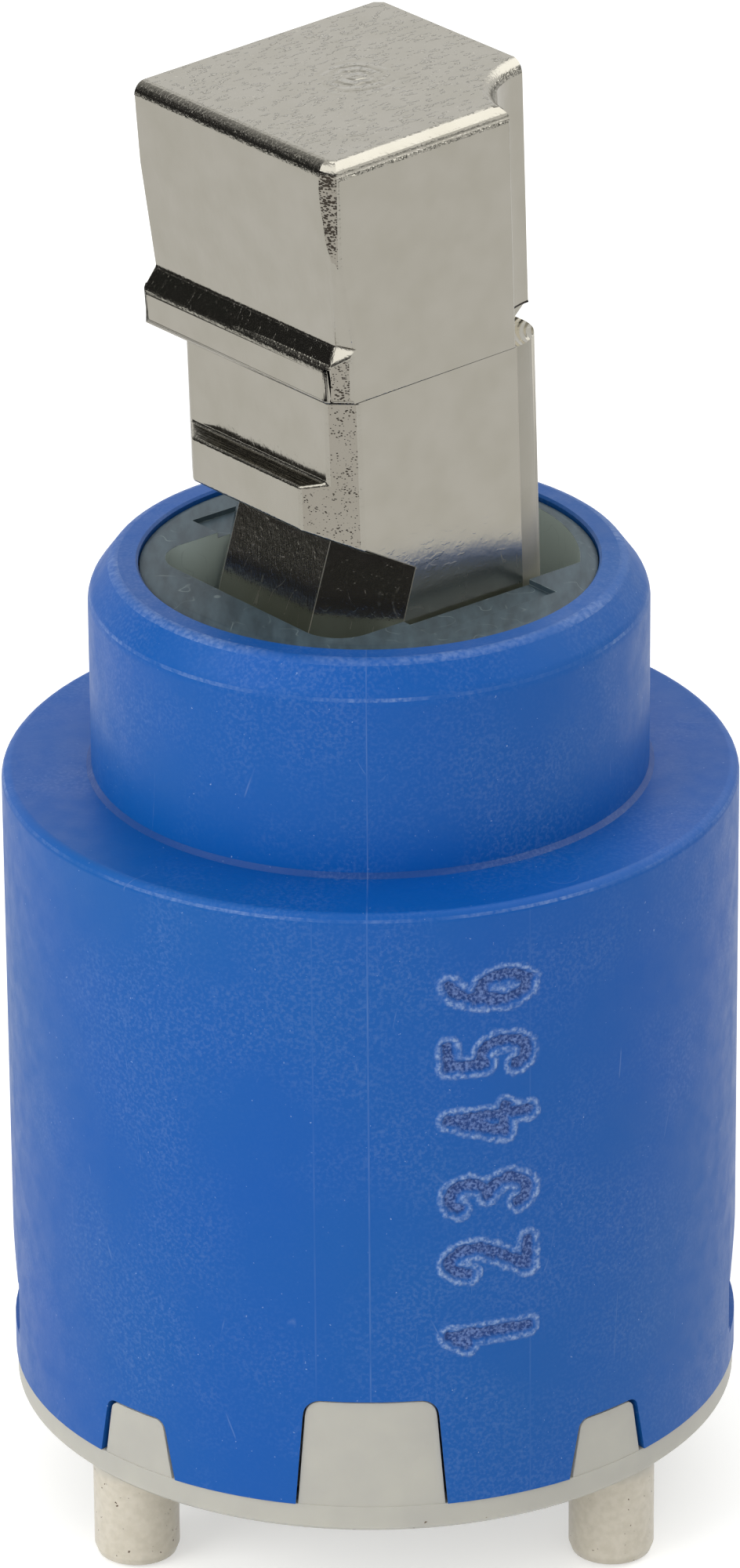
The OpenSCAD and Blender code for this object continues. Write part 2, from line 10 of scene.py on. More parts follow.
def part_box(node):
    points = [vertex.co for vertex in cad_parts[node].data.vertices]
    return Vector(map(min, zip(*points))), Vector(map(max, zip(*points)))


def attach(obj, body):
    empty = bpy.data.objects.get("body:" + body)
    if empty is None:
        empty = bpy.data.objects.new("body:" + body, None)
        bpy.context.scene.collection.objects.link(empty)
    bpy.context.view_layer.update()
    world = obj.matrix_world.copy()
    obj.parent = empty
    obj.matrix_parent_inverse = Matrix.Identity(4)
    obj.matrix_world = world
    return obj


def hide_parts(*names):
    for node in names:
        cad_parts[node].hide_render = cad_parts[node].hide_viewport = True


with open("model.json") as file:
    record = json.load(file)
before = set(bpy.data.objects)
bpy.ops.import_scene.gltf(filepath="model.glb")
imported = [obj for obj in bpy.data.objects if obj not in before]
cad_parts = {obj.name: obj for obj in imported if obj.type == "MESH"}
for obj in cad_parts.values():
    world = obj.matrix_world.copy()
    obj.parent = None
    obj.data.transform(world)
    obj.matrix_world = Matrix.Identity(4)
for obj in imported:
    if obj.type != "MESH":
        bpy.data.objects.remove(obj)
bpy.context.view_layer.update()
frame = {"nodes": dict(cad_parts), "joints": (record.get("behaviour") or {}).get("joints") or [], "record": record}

MM = 0.001
HUNDREDTH = 0.01 * MM

# Lengths that the pieces below are set by, taken from the frame, in millimetres
mounts = {mount["name"]: mount for mount in frame["record"]["mounts"]}
tilt = next(joint for joint in frame["joints"] if joint["name"] == "lever_tilt")
BODY_R = mounts["sleeve"]["dims"]["r_mm"]
COLLAR_R = mounts["collar"]["dims"]["r_mm"]
SHOULDER_Z = mounts["shoulder_face"]["pos_m"][2] / MM
COLLAR_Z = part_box("housing")[1].z / MM
FLOOR_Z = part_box("base")[0].z / MM
LEVER_TOP = mounts["lever_block"]["pos_m"][2] / MM
PIVOT_Z = tilt["pos_m"][2] / MM
SWIVEL_AZ = math.atan2(-tilt["axis"][0], tilt["axis"][1])

# The collar's chamfer and the slanting root at its foot, as the CAD source has them
CHAMFER_H = 2.05
CHAMFER_W = 1.5
ROOT = 0.3

# The lever, as the CAD source has it: its lean at rest, the height of its parting, and the
# middle and radius of its notch, along and across its tilt plane
REST_LEAN = math.radians(1.7)
PARTING_Z = 71.45
NOTCH_MID = Vector((10.5, -9.95))
NOTCH_R = 5.75

# Stretches of the lever by height, in its own millimetres
RIM_BOTTOM = LEVER_TOP - 1.2
LEDGE_Z = (71.0, 74.5)
STEP_Z = (70.0, 72.0)
SLOT_Z = (64.0, 66.5)
FACETS_Z = (48.0, 61.8)
BACK_CORNERS_Z = (50.0, 71.3)
# Strip at the parting, painted dark as the shade under the head's overhang
PARTING_SHADE_Z = (PARTING_Z - 0.03, PARTING_Z + 0.13)
JOINED_FROM_Z = 60
# Where parts of it begin, along its tilt plane from the closed side at low X, and across it
# from the front at low Y
CLOSED_SIDE_X = -7
FRONT_SIDE_Y = -6
# Where the strip of painted shade at the parting starts
PARTING_SHADE_X = -9
LEDGE_X = -7.5
FACETS_X = -3
BACK_CORNERS_X = 5

# The lever's slanting corners that are pitted: azimuths that their faces look to, in degrees,
# their heights, how far back they reach across its tilt plane, and how strongly they are pitted
PITTED = (
    ((-168, -145), (80, 90), -7, 1.0),
    ((-137, -131), (71, 90), 10, 0.7),
    ((-139.5, -134.5), (0, 71), 10, 0.35),
)

# Middles of the rings on the lever, along and across its tilt plane: casting gate, milled step
GATE_AT = Vector((-0.2, 0.6, 87.2)) * MM
STEP_AT = Vector((9.8, -9.95, 71.5)) * MM

# Counting digits sunk in the housing: azimuth of their column, heights of their middles, the
# size of one between its stroke's middles, half the stroke's width, and its depth
DIGITS_AZ = math.radians(18.6)
DIGITS_Z = (13.45, 18.5, 23.0, 27.95, 32.5, 36.9)
DIGIT_H = 5.1
DIGIT_W = 1.7
STROKE = 0.42
STROKE_DEPTH = 0.2
# How torn they are: how far the strokes wander, the width of their sloping sides, the roughness
# of their floor, and the width and height of the burr beside them
WANDER = 0.12
SLOPE = 0.16
FLOOR_ROUGH = 0.06
BURR_W = 0.45
BURR = 0.05
# Column of the wall that is cut into fine cells for them: its heights, half its width, the
# height of a cell and the number of cells across one strip of the wall
COLUMN_Z = (DIGITS_Z[0] - 3, DIGITS_Z[-1] + 2.8)
COLUMN_HALF = DIGIT_H / 2 + STROKE + 1.1
CELL = 0.1
CELLS_ACROSS = 8

# Mould lines down the housing: azimuth from the front and strength
MOULD_LINES = ((0.0, 1.0), (math.radians(-8.4), 0.45), (math.radians(25.3), 0.4))

# Levels of the even fill, and of the white paper and the dark room that the metal mirrors
FILL = 0.75
PAPER = 0.95
DARK_ROOM = 0.02


def linear(hex_code):
    """Turns an sRGB hex colour into linear red, green, blue and alpha."""
    channels = [int(hex_code[i:i + 2], 16) / 255 for i in (1, 3, 5)]
    return [c / 12.92 if c <= 0.04045 else ((c + 0.055) / 1.055) ** 2.4 for c in channels] + [1]


WHITE = linear("#FFFFFF")
SOFT = {"interpolation_type": "SMOOTHSTEP"}


def add(tree, kind, *values, **named):
    """Adds a shader node. The values fill its open inputs in order, a capitalised name fills the
    input of that name, and any other name is a setting. A node given as a value is linked."""
    made = tree.nodes.new("ShaderNode" + kind)
    for name, value in named.items():
        if name[0].islower():
            setattr(made, name, value)
    filled = list(zip([socket for socket in made.inputs if socket.enabled], values))
    filled += [(made.inputs[name.replace("_", " ")], value) for name, value in named.items()
               if name[0].isupper()]
    for socket, value in filled:
        if isinstance(value, bpy.types.Node):
            value = next(output for output in value.outputs if output.enabled)
        if isinstance(value, bpy.types.NodeSocket):
            tree.links.new(value, socket)
        else:
            socket.default_value = value
    return made


def empty_material(name):
    """A material whose nodes are all still to be added, and its tree."""
    material = bpy.data.materials.new(name)
    material.use_nodes = True
    material.node_tree.nodes.clear()
    return material, material.node_tree


def new_material(name):
    """A material with its output and principled shader. Returns material, tree and shader."""
    material, tree = empty_material(name)
    shader = tree.nodes.new("ShaderNodeBsdfPrincipled")
    add(tree, "OutputMaterial", shader)
    return material, tree, shader


def wave(size_mm):
    """Scale of a pattern whose waves are that many millimetres across."""
    return 1 / (size_mm * MM)


def cloudy(tree, place, size_mm, detail, start, end, low=0.0, high=1.0, **settings):
    """A pattern of clouds that many millimetres across. It goes from low to high while the
    noise goes from start to end."""
    clouds = add(tree, "TexNoise", place, Scale=wave(size_mm), Detail=detail)
    return add(tree, "MapRange", clouds, start, end, low, high, **settings)


def hair_scratches(tree, place, size_mm, detail, reach, level=1.0):
    """Scratches as thin as hairs, along the level lines of clouds that many millimetres across.
    They fade out where the noise is that reach off its middle."""
    clouds = add(tree, "TexNoise", place, Scale=wave(size_mm), Detail=detail)
    off_line = add(tree, "Math", clouds, 0.5, operation="SUBTRACT")
    off_line = add(tree, "Math", off_line, operation="ABSOLUTE")
    return add(tree, "MapRange", off_line, 0.0, reach, level, 0.0)


def cover(tree, shader, colour, height, strength=1.0):
    """Gives the shader a mixed colour, and a bump from heights in hundredths of a millimetre."""
    bump = add(tree, "Bump", Height=height, Strength=strength, Distance=HUNDREDTH)
    mixed = next(output for output in colour.outputs if output.enabled)
    tree.links.new(mixed, shader.inputs["Base Color"])
    tree.links.new(bump.outputs["Normal"], shader.inputs["Normal"])


def set_material(obj, material):
    """Leaves an object that one material."""
    obj.data.materials.clear()
    obj.data.materials.append(material)


# Camera: fitted to the photograph's ellipses and edges, its principal point in the middle
CAMERA_AT = Vector((6.79, -521.54, 279.98)) * MM
CAMERA_TURN = math.radians(0.750)
CAMERA_DIP = math.radians(24.659)
CAMERA_ROLL = math.radians(-0.471)
FOCAL_PX = 11730.6
PHOTO_H = 2000
SENSOR_H = 36

scene = bpy.context.scene
scene.view_settings.view_transform = "Standard"

camera_data = bpy.data.cameras.new("camera")
camera_data.sensor_fit = "VERTICAL"
camera_data.sensor_height = SENSOR_H
camera_data.lens = FOCAL_PX * SENSOR_H / PHOTO_H
camera_data.clip_end = 20
camera = bpy.data.objects.new("camera", camera_data)
camera.rotation_mode = "QUATERNION"
camera.rotation_quaternion = (
    Matrix.Rotation(CAMERA_TURN, 3, "Z")
    @ Matrix.Rotation(math.pi / 2 - CAMERA_DIP, 3, "X")
    @ Matrix.Rotation(CAMERA_ROLL, 3, "Z")
).to_quaternion()
camera.location = CAMERA_AT
scene.collection.objects.link(camera)
scene.camera = camera

PART_MIDDLE = Vector((0, 0, 40)) * MM


def softbox(name, at, size, power):
    """A square area lamp that looks at the middle of the part and isn't mirrored in it."""
    data = bpy.data.lights.new(name, "AREA")
    data.size = size
    data.energy = power
    lamp = bpy.data.objects.new(name, data)
    lamp.location = Vector(at)
    lamp.rotation_mode = "QUATERNION"
    lamp.rotation_quaternion = (lamp.location - PART_MIDDLE).to_track_quat("Z", "Y")
    lamp.visible_glossy = False
    scene.collection.objects.link(lamp)


# Place and size in metres, power in watts
softbox("soft_left", (-0.8, -0.55, 0.5), 0.7, 5.1)
softbox("soft_right", (0.6, 0.1, 0.8), 0.6, 0.8)
softbox("soft_back", (0.0, 0.8, 0.7), 0.6, 1.0)
softbox("soft_front", (0.15, -1.0, 0.3), 0.6, 1.0)

# World: even fill. Polished metal mirrors a room whose levels go by the depth and the height of
# the direction looked in, each from -1 to 1: white paper low down, and a dark room above it
world = bpy.data.worlds.new("studio")
scene.world = world
world.use_nodes = True
tree = world.node_tree
tree.nodes.clear()
path = add(tree, "LightPath")
towards = add(tree, "TexCoord").outputs["Generated"]
axes = add(tree, "SeparateXYZ", towards)
mirrored = add(tree, "MapRange", axes.outputs["Z"], -0.16, -0.06, PAPER, DARK_ROOM, **SOFT)
# Paler parts of it, as start, end and the levels at the two, first by depth and then by height
for by_depth, by_height in (
        # White paper behind, darker high up
        ((0.3, 0.62, 0.0, 1.0), (0.52, 0.66, 0.9, 0.3)),
        # Grey wall in front
        ((-0.62, -0.4, 0.4, 0.0), (0.14, 0.3, 0.0, 1.0)),
        # Pale ceiling, brighter at the back
        ((-0.3, 0.1, 0.25, 0.7), (0.74, 0.86, 0.0, 1.0))):
    part = add(tree, "Math", add(tree, "MapRange", axes.outputs["Y"], *by_depth, **SOFT),
               add(tree, "MapRange", axes.outputs["Z"], *by_height, **SOFT),
               operation="MULTIPLY")
    mirrored = add(tree, "Math", mirrored, part, operation="MAXIMUM")
# Bright panels in it: the direction they are in, the angles from it in degrees at which they
# start and end to fade out, and their level
for panel_at, inner, outer, level in (((0.5, 0.3, 0.81), 30, 42, 2.2),
                                      ((-0.6, -0.32, 0.73), 22, 31, 1.8),
                                      ((0.93, -0.2, 0.26), 14, 24, 1.1)):
    facing = add(tree, "VectorMath", towards, Vector(panel_at).normalized(),
                 operation="DOT_PRODUCT")
    panel = add(tree, "MapRange", facing, math.cos(math.radians(outer)),
                math.cos(math.radians(inner)), 0.0, level, **SOFT)
    mirrored = add(tree, "Math", mirrored, panel, operation="MAXIMUM")
fill = add(tree, "Mix", path.outputs["Is Glossy Ray"], FILL, mirrored, data_type="FLOAT")
seen = add(tree, "Math", path.outputs["Is Camera Ray"], path.outputs["Is Transmission Ray"],
           operation="MAXIMUM")
shown = add(tree, "Mix", seen, fill, 1.0, data_type="FLOAT")
add(tree, "OutputWorld", add(tree, "Background", WHITE, shown))

# Floor: matt white paper that glows enough to be plain white to the camera, and keeps the
# shadow. The metal mirrors it as white near the part and as dark farther off. Half its width
# and the stretch over which it goes dark are in metres
FLOOR_HALF = 4
GLOW = 0.46
FLOOR_FADE = (0.4, 0.8)
bm = bmesh.new()
bmesh.ops.create_grid(bm, x_segments=1, y_segments=1, size=FLOOR_HALF)
bmesh.ops.translate(bm, verts=bm.verts, vec=(0, 0, FLOOR_Z * MM))
floor_mesh = bpy.data.meshes.new("floor")
bm.to_mesh(floor_mesh)
bm.free()
floor = bpy.data.objects.new("floor", floor_mesh)
scene.collection.objects.link(floor)
material, tree = empty_material("floor_white_paper")
path = add(tree, "LightPath")
paper = add(tree, "BsdfDiffuse", linear("#E6E6E4"))
lit = add(tree, "AddShader", paper, add(tree, "Emission", WHITE, GLOW))
from_middle = add(tree, "VectorMath", add(tree, "TexCoord").outputs["Object"], operation="LENGTH")
mirror_level = add(tree, "MapRange", from_middle, *FLOOR_FADE, PAPER, DARK_ROOM, **SOFT)
white = add(tree, "Emission", WHITE, mirror_level)
plain = add(tree, "MixShader", path.outputs["Is Camera Ray"], paper, lit)
add(tree, "OutputMaterial", add(tree, "MixShader", path.outputs["Is Glossy Ray"], plain, white))
set_material(floor, material)


def nickel_material():
    """Satin nickel plate over a zinc die casting: warm grey with a soft mirror, rolling peel,
    crumbs of flash on top, dark pits in the cut corners and fine draw lines on the stem. A thin
    strip at the parting is painted dark as the shade under the head's overhang."""
    material, tree, shader = new_material("nickel_plated_zinc_die_casting")
    # The patterns lie square to the lever: X is along its tilt plane
    square = add(tree, "Mapping", add(tree, "TexCoord").outputs["Object"],
                 Rotation=(0, 0, -SWIVEL_AZ))
    up = add(tree, "SeparateXYZ", square).outputs["Z"]
    top, pits, brushed, milled, slot, ragged, edge, parting_shade, worn = [
        add(tree, "Attribute", attribute_name=name).outputs["Fac"] for name in
        ("top", "pits", "brushed", "milled", "slot", "ragged", "edge", "parting_shade", "worn")]

    # Heights in hundredths of a millimetre, gathered into one sum. First the clouds: how they
    # are stretched, their size in millimetres, detail, the mark that bounds them, and height.
    # The streaks, draw lines, fuzz and grains are drawn as coarse as they need to show
    even = (1, 1, 1)
    height = 0.0
    for stretch, size_mm, detail, bounds, strength in (
            # Rolling peel of the plating, and a finer one on it
            (even, 1.2, 2, 1.0, 1.5),
            (even, 0.38, 2, 1.0, 0.6),
            # Upright streaks on every side
            ((1, 1, 0.05), 0.19, 2, 1.0, 0.38),
            # Draw lines down the stem's facets, and along the slot above the stem
            ((1, 1, 0.04), 0.11, 3, brushed, 1.5),
            ((1, 0.03, 1), 0.11, 3, slot, 3.0),
            # Fuzz of rough plating on the rounded edges
            (even, 0.19, 2, edge, 2.6),
            # Grains of ragged flash under the rim on the front, which glint
            (even, 0.2, 1, ragged, 14.0)):
        stretched = add(tree, "Mapping", square, Scale=stretch)
        clouds = add(tree, "TexNoise", stretched, Scale=wave(size_mm), Detail=detail)
        clouds = add(tree, "Math", clouds, bounds, operation="MULTIPLY")
        height = add(tree, "Math", clouds, strength, height, operation="MULTIPLY_ADD")
    # Crumbs of flash on the top, 0.3 mm across and 0.8 mm along the tilt plane
    lying = add(tree, "Mapping", square, Scale=(0.55, 1.4, 1))
    crumbs = cloudy(tree, lying, 0.43, 2, 0.57, 0.65, **SOFT)
    crumb_height = add(tree, "Math", top, 13.0, 0.25, operation="MULTIPLY_ADD")
    height = add(tree, "Math", crumbs, crumb_height, height, operation="MULTIPLY_ADD")
    # Rings of frozen waves round the gate, 0.9 mm apart
    from_gate = add(tree, "VectorMath", square, GATE_AT, operation="DISTANCE")
    bent = add(tree, "TexNoise", square, Scale=wave(2.0), Detail=3)
    bent = add(tree, "Math", bent, 14.0, operation="MULTIPLY")
    swirl = add(tree, "Math", from_gate, math.tau * wave(0.9), bent, operation="MULTIPLY_ADD")
    swirl = add(tree, "Math", swirl, operation="SINE")
    near_gate = add(tree, "MapRange", from_gate, 0.2 * MM, 3.6 * MM, 3.4, 0.0, **SOFT)
    near_gate = add(tree, "Math", near_gate, top, operation="MULTIPLY")
    height = add(tree, "Math", swirl, near_gate, height, operation="MULTIPLY_ADD")
    # Milled rings on the step under the notch, drawn 0.45 mm apart so that they show
    from_notch = add(tree, "VectorMath", square, STEP_AT, operation="DISTANCE")
    rings = add(tree, "Math", from_notch, math.tau * wave(0.45), operation="MULTIPLY")
    rings = add(tree, "Math", rings, operation="SINE")
    ring_height = add(tree, "Math", milled, 2.2, operation="MULTIPLY")
    height = add(tree, "Math", rings, ring_height, height, operation="MULTIPLY_ADD")
    # Pits, flat ovals 0.2 mm wide and 0.12 mm high that crowd where the face is marked
    flat = add(tree, "Mapping", square, Scale=(1, 1, 1.7))
    spots = add(tree, "TexVoronoi", flat, Scale=wave(0.21), Randomness=1.0)
    crowd = add(tree, "TexNoise", square, Scale=wave(0.6), Detail=2)
    reach = add(tree, "Math", pits, 0.5, crowd, operation="MULTIPLY_ADD")
    reach = add(tree, "Math", reach, 0.54, operation="SUBTRACT")
    inside = add(tree, "Math", reach, spots.outputs["Distance"], operation="SUBTRACT")
    pit = add(tree, "Math", add(tree, "MapRange", inside, -0.08, 0.05, 0.0, 1.0, **SOFT),
              add(tree, "MapRange", pits, 0.02, 0.1, 0.0, 1.0, **SOFT), operation="MULTIPLY")
    height = add(tree, "Math", pit, -2.0, height, operation="MULTIPLY_ADD")
    # Scratches about 0.05 mm wide round the foot of the stem
    slanting = add(tree, "Mapping", square, Rotation=(0.5, 0.5, 0), Scale=(1, 1, 0.2))
    hair = hair_scratches(tree, slanting, 1.5, 0, 0.01)
    by_foot = add(tree, "MapRange", up, 55.5 * MM, 60.5 * MM, 1.0, 0.0)
    for bounds in (by_foot, cloudy(tree, square, 0.8, 2, 0.5, 0.6)):
        hair = add(tree, "Math", hair, bounds, operation="MULTIPLY")

    plated = add(tree, "Mix", cloudy(tree, square, 2.4, 2, 0.3, 0.7), linear("#B0ACA1"),
                 linear("#ABA79B"), data_type="RGBA")
    dulled = add(tree, "Mix", add(tree, "MapRange", pits, 0.0, 0.35, 0.0, 0.4), plated,
                 linear("#8E867A"), data_type="RGBA")
    pitted = add(tree, "Mix", pit, dulled, linear("#4B443C"), data_type="RGBA")
    # Painted shade: the strip at the parting is darkened as the shade under the head's overhang
    colour = add(tree, "Mix", parting_shade, pitted, linear("#35322D"), data_type="RGBA")
    cover(tree, shader, colour, height)
    # Roughness of the polished plate, and what each mark adds to it. The cast skin is duller
    # near the stem's foot, where the polishing wheel doesn't reach
    skin = add(tree, "MapRange", up, 56.5 * MM, 62.5 * MM, 0.13, 0.0)
    off_facets = add(tree, "MapRange", brushed, 0.0, 0.2, 1.0, 0.0)
    rough = 0.13
    for part, strength in ((brushed, 0.06), (pit, 0.3), (edge, 0.06), (worn, 0.5),
                           (skin, off_facets), (hair, 0.22)):
        rough = add(tree, "Math", part, strength, rough, operation="MULTIPLY_ADD")
    tree.links.new(rough.outputs[0], shader.inputs["Roughness"])
    # The top keeps a dull cast skin, so it doesn't go black where it mirrors the dark room
    metallic = add(tree, "Math", top, -0.4, 1.0, operation="MULTIPLY_ADD")
    tree.links.new(metallic.outputs[0], shader.inputs["Metallic"])
    return material


def blue_material():
    """Injection moulded acetal: even satin blue with fine mould grain, a few hair scratches, pale
    specks of dust, pale worn edges and faint mould lines. The collar's root is painted darker as
    shade in the crease. The sunk digits' floor is painted dark as shade in the groove, flecked pale
    where the plastic is torn, and a pale torn burr lies beside it."""
    material, tree, shader = new_material("moulded_blue_acetal")
    place = add(tree, "TexCoord").outputs["Object"]
    edge, root_shade, burr, groove = [add(tree, "Attribute", attribute_name=name).outputs["Fac"]
                                for name in ("edge", "root_shade", "burr", "groove")]
    # Mould lines: a narrow pale stroke at each azimuth, which fades out over 0.08 mm to a side.
    # Off the front only the lower body has them
    at = add(tree, "SeparateXYZ", place)
    to_front = add(tree, "Math", at.outputs["Y"], -1.0, operation="MULTIPLY")
    azimuth = add(tree, "Math", at.outputs["X"], to_front, operation="ARCTAN2")
    below = add(tree, "MapRange", at.outputs["Z"], (SHOULDER_Z - 0.6) * MM,
                (SHOULDER_Z - 0.4) * MM, 1.0, 0.0)
    mould_line = 0.0
    for line_at, strength in MOULD_LINES:
        beside = add(tree, "Math", azimuth, line_at, operation="SUBTRACT")
        beside = add(tree, "Math", beside, operation="ABSOLUTE")
        line = add(tree, "MapRange", beside, 0.0008, 0.0036, strength, 0.0, **SOFT)
        if line_at:
            line = add(tree, "Math", line, below, operation="MULTIPLY")
        mould_line = add(tree, "Math", mould_line, line, operation="MAXIMUM")
    mould_line = add(tree, "Math", mould_line, cloudy(tree, place, 3.8, 2, 0.3, 0.6, 0.15),
                     operation="MULTIPLY")
    # Scratches about 0.05 mm wide, broken up into patches
    along = add(tree, "Mapping", place, Rotation=(0, 0.5, 0.3), Scale=(1, 1, 0.2))
    scratch = add(tree, "Math", hair_scratches(tree, along, 3.8, 0, 0.005),
                  cloudy(tree, place, 2.4, 2, 0.6, 0.68), operation="MULTIPLY")
    # Dust and nicks 0.1 mm wide
    dust = cloudy(tree, place, 0.24, 2, 0.74, 0.78)
    # Whitened edges, broken every 0.3 mm and stronger in some stretches than in others
    worn = edge
    for bounds in (cloudy(tree, place, 0.3, 2, 0.3, 0.7, 0.02, 0.34),
                   cloudy(tree, place, 7.0, 1, 0.38, 0.62, 0.15)):
        worn = add(tree, "Math", worn, bounds, operation="MULTIPLY")
    # Bloom of fine handling flecks in patches, drawn 0.15 mm wide so that they show
    bloom = add(tree, "Math", cloudy(tree, place, 0.22, 3, 0.45, 0.75),
                cloudy(tree, place, 9.0, 2, 0.42, 0.62, 0.1), operation="MULTIPLY")
    # Torn plastic, crumbs 0.15 mm wide
    torn = add(tree, "TexNoise", place, Scale=wave(0.19), Detail=3)
    torn_burr = add(tree, "Math", burr, add(tree, "MapRange", torn, 0.35, 0.62, 0.1, 0.62),
                    operation="MULTIPLY")
    pale = worn
    for part, strength in ((scratch, 0.16), (dust, 0.45), (bloom, 0.1), (mould_line, 0.12),
                           (torn_burr, 1.0)):
        part = add(tree, "Math", part, strength, operation="MULTIPLY")
        pale = add(tree, "Math", part, pale, operation="MAXIMUM")
    body = add(tree, "Mix", cloudy(tree, place, 22.0, 3, 0.3, 0.7), linear("#0052A6"),
               linear("#0556A2"), data_type="RGBA")
    # Painted shade: the crease at the collar's root is darkened
    painted_root_shade = add(tree, "Math", root_shade, 0.75, operation="MULTIPLY")
    body = add(tree, "Mix", painted_root_shade, body, linear("#08397C"), data_type="RGBA")
    shown = add(tree, "Mix", pale, body, linear("#A9BEDF"), data_type="RGBA")
    # Painted shade: the groove floor is dark as the shade in it, flecked pale where torn
    groove_shade_and_flecks = add(tree, "Mix", add(tree, "MapRange", torn, 0.42, 0.64, 0.0, 0.7),
                     linear("#173C7C"), linear("#7791C9"), data_type="RGBA")
    colour = add(tree, "Mix", groove, shown, groove_shade_and_flecks, data_type="RGBA")
    # Heights in hundredths of a millimetre: fine mould grain, drawn 0.3 mm across so that it
    # shows, slow peel, scratches, mould lines and torn plastic
    grain = add(tree, "TexNoise", place, Scale=wave(0.3), Detail=2)
    peel = add(tree, "TexNoise", place, Scale=wave(2.4), Detail=2)
    torn_high = add(tree, "Math", torn, add(tree, "Math", groove, burr, operation="ADD"),
                    operation="MULTIPLY")
    height = 0.0
    for part, strength in ((grain, 0.5), (peel, 1.2), (scratch, -0.4), (mould_line, 0.7),
                           (torn_high, 4.5)):
        height = add(tree, "Math", part, strength, height, operation="MULTIPLY_ADD")
    cover(tree, shader, colour, height)
    rough = cloudy(tree, place, 1.4, 3, 0.3, 0.7, 0.36, 0.48)
    tree.links.new(rough.outputs[0], shader.inputs["Roughness"])
    shader.inputs["Specular IOR Level"].default_value = 0.3
    return material


def cream_material():
    """Injection moulded acetal in its own cream: waxy, lets light a little way in, with brown
    specks along the flange's lower edge. Its edges are painted paler as a highlight, and its pins
    paler as light that lifts the shade under the body."""
    material, tree, shader = new_material("moulded_cream_acetal")
    place = add(tree, "TexCoord").outputs["Object"]
    edge = add(tree, "Attribute", attribute_name="edge").outputs["Fac"]
    up = add(tree, "SeparateXYZ", place).outputs["Z"]
    # Specks 0.2 mm wide, which crowd near the seat face
    low_down = add(tree, "MapRange", up, 0.2 * MM, 1.8 * MM, 0.10, 0.0)
    specks = add(tree, "TexNoise", place, Scale=wave(0.38), Detail=2)
    specks = add(tree, "Math", specks, low_down, operation="ADD")
    speck = add(tree, "MapRange", specks, 0.80, 0.85, 0.0, 1.0)
    cloud = add(tree, "TexNoise", place, Scale=wave(3.1), Detail=3)
    body = add(tree, "Mix", add(tree, "MapRange", cloud, 0.3, 0.7, 0.0, 1.0), linear("#BBB9AF"),
               linear("#B4B2AA"), data_type="RGBA")
    # Painted light makes the pins paler, lifting the shade under the body; they are warmer and mottled
    pin = add(tree, "MapRange", up, -1.2 * MM, -0.2 * MM, 1.0, 0.0)
    mottled = add(tree, "Mix", cloudy(tree, place, 0.5, 3, 0.35, 0.65), linear("#D4CDBE"),
                  linear("#CBC4B4"), data_type="RGBA")
    body = add(tree, "Mix", pin, body, mottled, data_type="RGBA")
    # Painted highlight: the rounded edges are paler, as the light line they catch
    bloom = add(tree, "Math", edge, 0.45, operation="MULTIPLY")
    pale = add(tree, "Mix", bloom, body, linear("#D6D5CE"), data_type="RGBA")
    colour = add(tree, "Mix", speck, pale, linear("#5E4A36"), data_type="RGBA")
    # Mould grain, drawn 0.4 mm across so that it shows, over a slow peel
    grain = add(tree, "TexNoise", place, Scale=wave(0.42), Detail=3)
    height = add(tree, "Math", grain, 0.9, operation="MULTIPLY")
    height = add(tree, "Math", cloud, 2.0, height, operation="MULTIPLY_ADD")
    cover(tree, shader, colour, height)
    shader.inputs["Roughness"].default_value = 0.42
    shader.inputs["Specular IOR Level"].default_value = 0.4
    shader.inputs["Subsurface Weight"].default_value = 0.35
    shader.inputs["Subsurface Radius"].default_value = (1.0, 0.95, 0.8)
    shader.inputs["Subsurface Scale"].default_value = 1.5 * MM
    return material


def frosted_material():
    """Glass-filled nylon left natural: grey-green and frosted, with whitish scuffed edges. The walls
    of the opening are painted pale, as painted light that lifts the shade inside it."""
    material, tree, shader = new_material("moulded_glass_filled_nylon")
    place = add(tree, "TexCoord").outputs["Object"]
    edge, wall = [add(tree, "Attribute", attribute_name=name).outputs["Fac"]
                  for name in ("edge", "wall")]
    # Glass fibres show as flow marks, 0.7 mm wide and 2.7 mm long
    flow = add(tree, "Mapping", place, Rotation=(0, 0, 0.6), Scale=(1, 0.25, 1))
    fibres = add(tree, "TexNoise", flow, Scale=wave(0.67), Detail=3)
    body = add(tree, "Mix", add(tree, "MapRange", fibres, 0.35, 0.7, 0.0, 1.0),
               linear("#39474F"), linear("#4A5B64"), data_type="RGBA")
    # Painted light: the opening's walls are paler, lifting the shade inside the opening
    lit = add(tree, "Mix", wall, body, linear("#C0D0CD"), data_type="RGBA")
    # Scuffed edges, and scratches about 0.05 mm wide
    scuffed = add(tree, "Math", edge, cloudy(tree, place, 0.77, 3, 0.45, 0.7, 0.15, 0.8),
                  operation="MULTIPLY")
    hair = add(tree, "Math", hair_scratches(tree, place, 2.4, 1, 0.012, 0.35),
               cloudy(tree, place, 2.0, 2, 0.45, 0.6), operation="MULTIPLY")
    pale = add(tree, "Math", scuffed, hair, operation="MAXIMUM")
    colour = add(tree, "Mix", pale, lit, linear("#9DADAD"), data_type="RGBA")
    height = add(tree, "Math", fibres, 0.8, operation="MULTIPLY")
    height = add(tree, "Math", pale, 1.5, height, operation="MULTIPLY_ADD")
    cover(tree, shader, colour, height)
    shader.inputs["Roughness"].default_value = 0.5
    shader.inputs["Specular IOR Level"].default_value = 0.35
    return material


